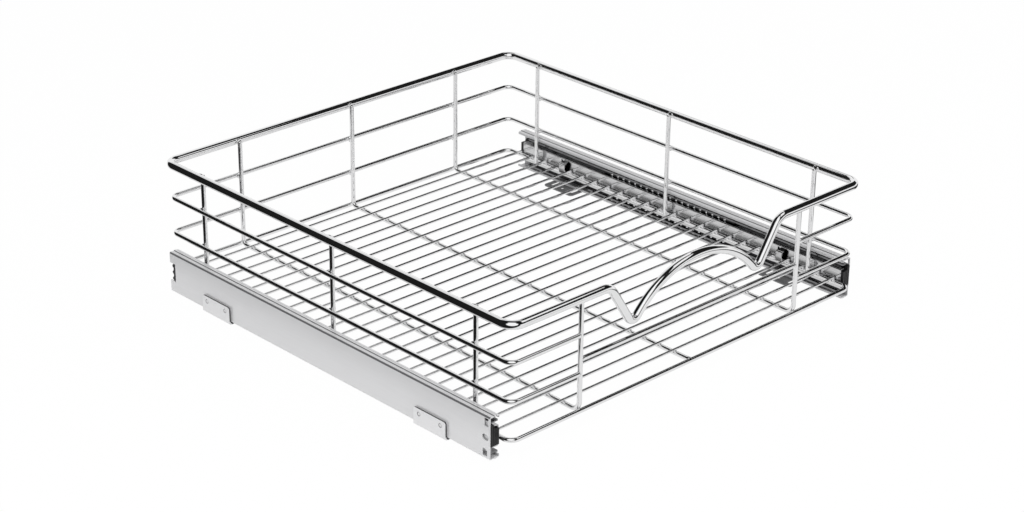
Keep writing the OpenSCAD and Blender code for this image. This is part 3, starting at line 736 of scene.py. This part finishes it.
def make_piece(name, parts, body, slot, *nodes):
    """One smooth mesh piece that rides on body and stands for the CAD nodes. Only the flat ends
    of its wires, which have more than four corners, aren't smooth."""
    verts, faces = merge(parts)
    mesh = bpy.data.meshes.new(name)
    mesh.from_pydata(verts.tolist(), [], faces)
    mesh.shade_smooth()
    for face in mesh.polygons:
        if len(face.vertices) > 4:
            face.use_smooth = False
    mesh.materials.append(SLOT_FINISH[slot])
    piece = bpy.data.objects.new(name, mesh)
    bpy.context.scene.collection.objects.link(piece)
    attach(piece, body)
    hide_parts(*nodes)
    print(name, "vertices", len(verts), "faces", len(faces))


# %% [markdown]
# ## Where the wires run
#
# The frame's boxes give the places of the loops, so the wires stay with the solids. Typing the
# places in would do until a size changes. Only the wire sizes, the bend radii, the rim's height
# over the frame and the pitch of the floor are given here. At each weld the two wires sink into
# each other a little, by SET.

# %% Wire sizes
RIM_R, WIRE_R, CROSS_R = 4.5 * MM, 2.5 * MM, 1.5 * MM
SET = 0.4 * MM
RIM_BEND, LOOP_BEND = 14 * MM, 10 * MM
FRONT_BEND, REAR_BEND = 10 * MM, 6 * MM
RIM_OVER_FRAME = 121 * MM
CROSS_COUNT, CROSS_PITCH = 24, 21 * MM


# %% Where the wires run
def middle(node):
    """The middle of a node's box."""
    lo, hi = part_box(node)
    return (np.array(lo) + np.array(hi)) / 2


def high(node):
    """The highest corner of a node's box."""
    return np.array(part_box(node)[1])


frame_z = middle("bottom_frame_wire")[2]
lower_z = middle("lower_side_wire")[2]
upper_z = middle("upper_side_wire")[2]
loop_x, loop_y = high("bottom_frame_wire")[:2] - WIRE_R
rim_x, rim_y = high("top_rim")[:2] - RIM_R
rim_z = frame_z + RIM_OVER_FRAME
upright_top = high("right_side_uprights")[2]
upright_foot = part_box("right_side_uprights")[0][2]
side_x = high("right_side_uprights")[0] - WIRE_R
side_step = high("right_side_uprights")[1] - WIRE_R
runner_x = middle("right_runner_wire")[0]
front_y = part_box("right_runner_wire")[0][1] + WIRE_R
rear_y = high("right_runner_wire")[1] - WIRE_R
bar_z = middle("front_bar")[2]
bar_end = high("front_bar")[0]
cross_end = high("floor_cross_wires")[0]
cross_z = middle("floor_cross_wires")[2]
cross_y = (np.arange(CROSS_COUNT) - (CROSS_COUNT - 1) / 2) * CROSS_PITCH
print("rim height", round(rim_z / MM, 2), "runner at", round(runner_x / MM, 2))

# %% [markdown]
# ## Top rim and hand grip
#
# The rim is one wire. Its front has a shoulder, a rounded bend down, a slope, a tight bend at the
# bottom and then one wide arch over the middle, which is the grip. A drawn spline would come
# close, but a wire is bent in arcs and straights, so it is made of those. The arch has to meet
# the bottom bend smoothly: its radius follows from its height, and the angle where it ends
# follows from the two centres. The slope is the line that touches both bends from opposite sides.

# %% Grip sizes
DIP_SHOULDER, DIP_RUN, DIP_DEPTH = 26.5 * MM, 41.6 * MM, 44.8 * MM
DIP_BEND, GRIP_BEND, ARCH_DROP = 16 * MM, 7.7 * MM, 3.6 * MM
ARCH_STEP = 1.5
dip_x = runner_x - DIP_SHOULDER
grip_x = dip_x - DIP_RUN
grip_z = rim_z - DIP_DEPTH + GRIP_BEND
arch_top = rim_z - ARCH_DROP
arch_r = ((grip_x**2 + (grip_z - arch_top) ** 2 - GRIP_BEND**2)
          / (2 * (GRIP_BEND + arch_top - grip_z)))
arch_z = arch_top - arch_r
arch_end = np.degrees(np.arctan2(grip_z - arch_z, grip_x))
rise = rim_z - DIP_BEND - grip_z
slope = np.degrees(np.arctan2(rise, DIP_RUN)
                   + np.arcsin((DIP_BEND + GRIP_BEND) / np.hypot(DIP_RUN, rise)))
print("arch radius", round(arch_r / MM, 1), "slope", round(slope, 1))


# %% Top rim
def flip(piece):
    """Mirrors a path piece in X and turns its travel round."""
    points, ways = piece
    return (points * [-1, 1, 1])[::-1], (ways * [1, -1, -1])[::-1]


def corner(x, y, z, r, start):
    """A quarter bend of a loop, about the point r in from both of its sides."""
    centre = np.array([np.sign(x) * (abs(x) - r), np.sign(y) * (abs(y) - r), z])
    return arc(centre, r, start, start + 90, X, Y)


def corners(x, y, z, r):
    """The four bends of a loop round the middle, from front right on to front left."""
    return [corner(x, -y, z, r, 270), corner(x, y, z, r, 0), corner(-x, y, z, r, 90),
            corner(-x, -y, z, r, 180)]


def rim_path():
    """Half of the grip from its middle to the right, the loop, and the other half mirrored."""
    front = -rim_y
    half = [
        arc(np.array([0, front, arch_z]), arch_r, 90, arch_end, X, Z, ARCH_STEP),
        arc(np.array([grip_x, front, grip_z]), GRIP_BEND, 180 + arch_end, 270 + slope, X, Z),
        arc(np.array([dip_x, front, rim_z - DIP_BEND]), DIP_BEND, 90 + slope, 90, X, Z),
    ]
    loop = corners(rim_x, rim_y, rim_z, RIM_BEND)
    return path(*half, *loop, *[flip(piece) for piece in half[::-1]])


points, ways = rim_path()
make_piece("rim_wire", [sweep(points[:-1], ways[:-1], RIM_R, Z, closed=True, sides=RIM_SIDES)],
           "drawer", "chrome_wire", "top_rim")

# %% [markdown]
# ## Side wires and bottom frame
#
# The two side wires run round three sides and end on the front uprights. The bottom frame is a
# whole loop. They could be bent from one straight tube, but a path of arcs gives the same wire
# without any stretching at the corners.


# %% Side wires and bottom frame
def side_wire(z):
    """An open loop at height z, from the right front upright round to the left one."""
    start = runner_x + WIRE_R - SET
    loop = corners(loop_x, loop_y, z, LOOP_BEND)
    first = straight([start, -loop_y, z], [loop_x - LOOP_BEND, -loop_y, z])
    last = straight([LOOP_BEND - loop_x, -loop_y, z], [-start, -loop_y, z])
    return sweep(*path(first, *loop, last), WIRE_R, Z)


frame_loop = sweep(*path(*corners(loop_x, loop_y, frame_z, LOOP_BEND)), WIRE_R, Z, closed=True)
make_piece("upper_side", [side_wire(upper_z)], "drawer", "chrome_wire", "upper_side_wire")
make_piece("lower_side", [side_wire(lower_z)], "drawer", "chrome_wire", "lower_side_wire")
make_piece("frame_loop", [frame_loop], "drawer", "chrome_wire", "bottom_frame_wire")

# %% [markdown]
# ## Runners and uprights
#
# Each outer runner is one wire bent up at both ends; the middle one is bent up at the rear only.
# The side uprights are plain cut lengths. Copies of one upright could be placed as objects, but
# a piece has its place in its mesh, so each is swept where it stands. Where a wire is welded,
# its bead belongs to the piece that was added last.

# %% Beads on the uprights
UPRIGHT_BEAD = 4.4 * MM, 3.8 * MM, 1.5 * MM
RIM_BEAD = 3.1 * MM, 3.1 * MM, 0.9 * MM
MIDDLE_BEAD = 3 * MM, 2.8 * MM, 0.9 * MM
BUTT_BEAD = 2.9 * MM, 2.9 * MM, 0.8 * MM
CROOK_BEAD = 3 * MM, 2.2 * MM, 1.2 * MM
CROOK_IN, CROOK_UP = 2.3 * MM, 1.6 * MM


def upright_beads(x, y, inward, heights):
    """Beads where an upright at x, y touches level wires on its outer side."""
    centres = np.array([[x, y, z] for z in heights]) - WIRE_R * inward
    return beads(centres, np.cross(Z, inward), Z, inward, UPRIGHT_BEAD)


def crook_bead(x, y):
    """The bead in the crook where a runner bends up beside the frame wire at y."""
    return beads([x, y - np.sign(y) * CROOK_IN, frame_z + CROOK_UP], X, Z, Y, CROOK_BEAD)


# %% Runners
rim_under = rim_z - np.sqrt(RIM_R**2 - (rim_y + front_y) ** 2) + SET


def rear_end(x):
    """The rear bend of a runner and the upright above it."""
    centre = np.array([x, rear_y - REAR_BEND, frame_z + REAR_BEND])
    return [arc(centre, REAR_BEND, 270, 360, Y, Z),
            straight([x, rear_y, frame_z + REAR_BEND], [x, rear_y, upright_top])]


def front_end(x):
    """The front upright of an outer runner, its bend, and the beads on both."""
    low = np.array([x, front_y + FRONT_BEND, frame_z + FRONT_BEND])
    run = [straight([x, front_y, rim_under], [x, front_y, low[2]]),
           arc(low, FRONT_BEND, 180, 270, Y, Z)]
    side = np.sign(x) * X * (WIRE_R - SET)
    ends = np.array([[x, -loop_y, z] for z in (lower_z, upper_z)]) + side
    return run, [beads([x, front_y, rim_under - SET], X, Y, Z, RIM_BEAD), crook_bead(x, -loop_y),
                 beads(ends, Y, Z, X, BUTT_BEAD)]


def middle_end(x):
    """The front end of the middle runner, which butts against the frame wire, and its bead."""
    start = np.array([x, -loop_y + WIRE_R - SET, frame_z])
    return ([straight(start, [x, rear_y - REAR_BEND, frame_z])],
            [beads(start, X, Z, Y, MIDDLE_BEAD)])


for name, x in (("left", -runner_x), ("middle", 0.0), ("right", runner_x)):
    run, parts = middle_end(x) if name == "middle" else front_end(x)
    parts += [sweep(*path(*run, *rear_end(x)), WIRE_R, X),
              upright_beads(x, rear_y, -Y, (lower_z, upper_z, rim_z)), crook_bead(x, loop_y)]
    make_piece(f"{name}_runner", parts, "drawer", "chrome_wire", f"{name}_runner_wire")

# %% Side uprights
for name, s in (("left", -1), ("right", 1)):
    parts = []
    for y in (-side_step, 0, side_step):
        line = straight([s * side_x, y, upright_foot], [s * side_x, y, upright_top])
        parts.append(sweep(*line, WIRE_R, X))
        parts.append(upright_beads(s * side_x, y, -s * X, (frame_z, lower_z, upper_z, rim_z)))
    make_piece(f"{name}_uprights", parts, "drawer", "chrome_wire", f"{name}_side_uprights")

# %% [markdown]
# ## Front bar
#
# A short wire between the two front uprights, below the grip. It is one straight, butt welded at
# both ends. It could be a part of the frame's piece, but it is a node of its own and so stays one.

# %% Front bar
bar = sweep(*straight([-bar_end, front_y, bar_z], [bar_end, front_y, bar_z]), WIRE_R, Z)
bar_beads = beads([[s * bar_end, front_y, bar_z] for s in (-1, 1)], Y, Z, X, BUTT_BEAD)
make_piece("grip_bar", [bar, bar_beads], "drawer", "chrome_wire", "front_bar")

# %% [markdown]
# ## Floor
#
# Twenty four thin wires lie across the runners, each welded to all three and to both sides of
# the frame. An Array modifier could repeat one wire, but the beads' waves would then be alike in
# every row. The thinnest wires also get fewer sides, because they are the most.

# %% Floor
FLOOR_BEAD = 2.3 * MM, 2.0 * MM, 0.75 * MM
rods = [sweep(*straight([-cross_end, y, cross_z], [cross_end, y, cross_z]), CROSS_R, Z,
              sides=FLOOR_SIDES) for y in cross_y]
touch = cross_z - CROSS_R + SET / 2
spots = np.array([[x, y, touch] for y in cross_y
                  for x in (-loop_x, -runner_x, 0, runner_x, loop_x)])
make_piece("floor_wires", rods + [beads(spots, X, Y, Z, FLOOR_BEAD)],
           "drawer", "chrome_wire", "floor_cross_wires")
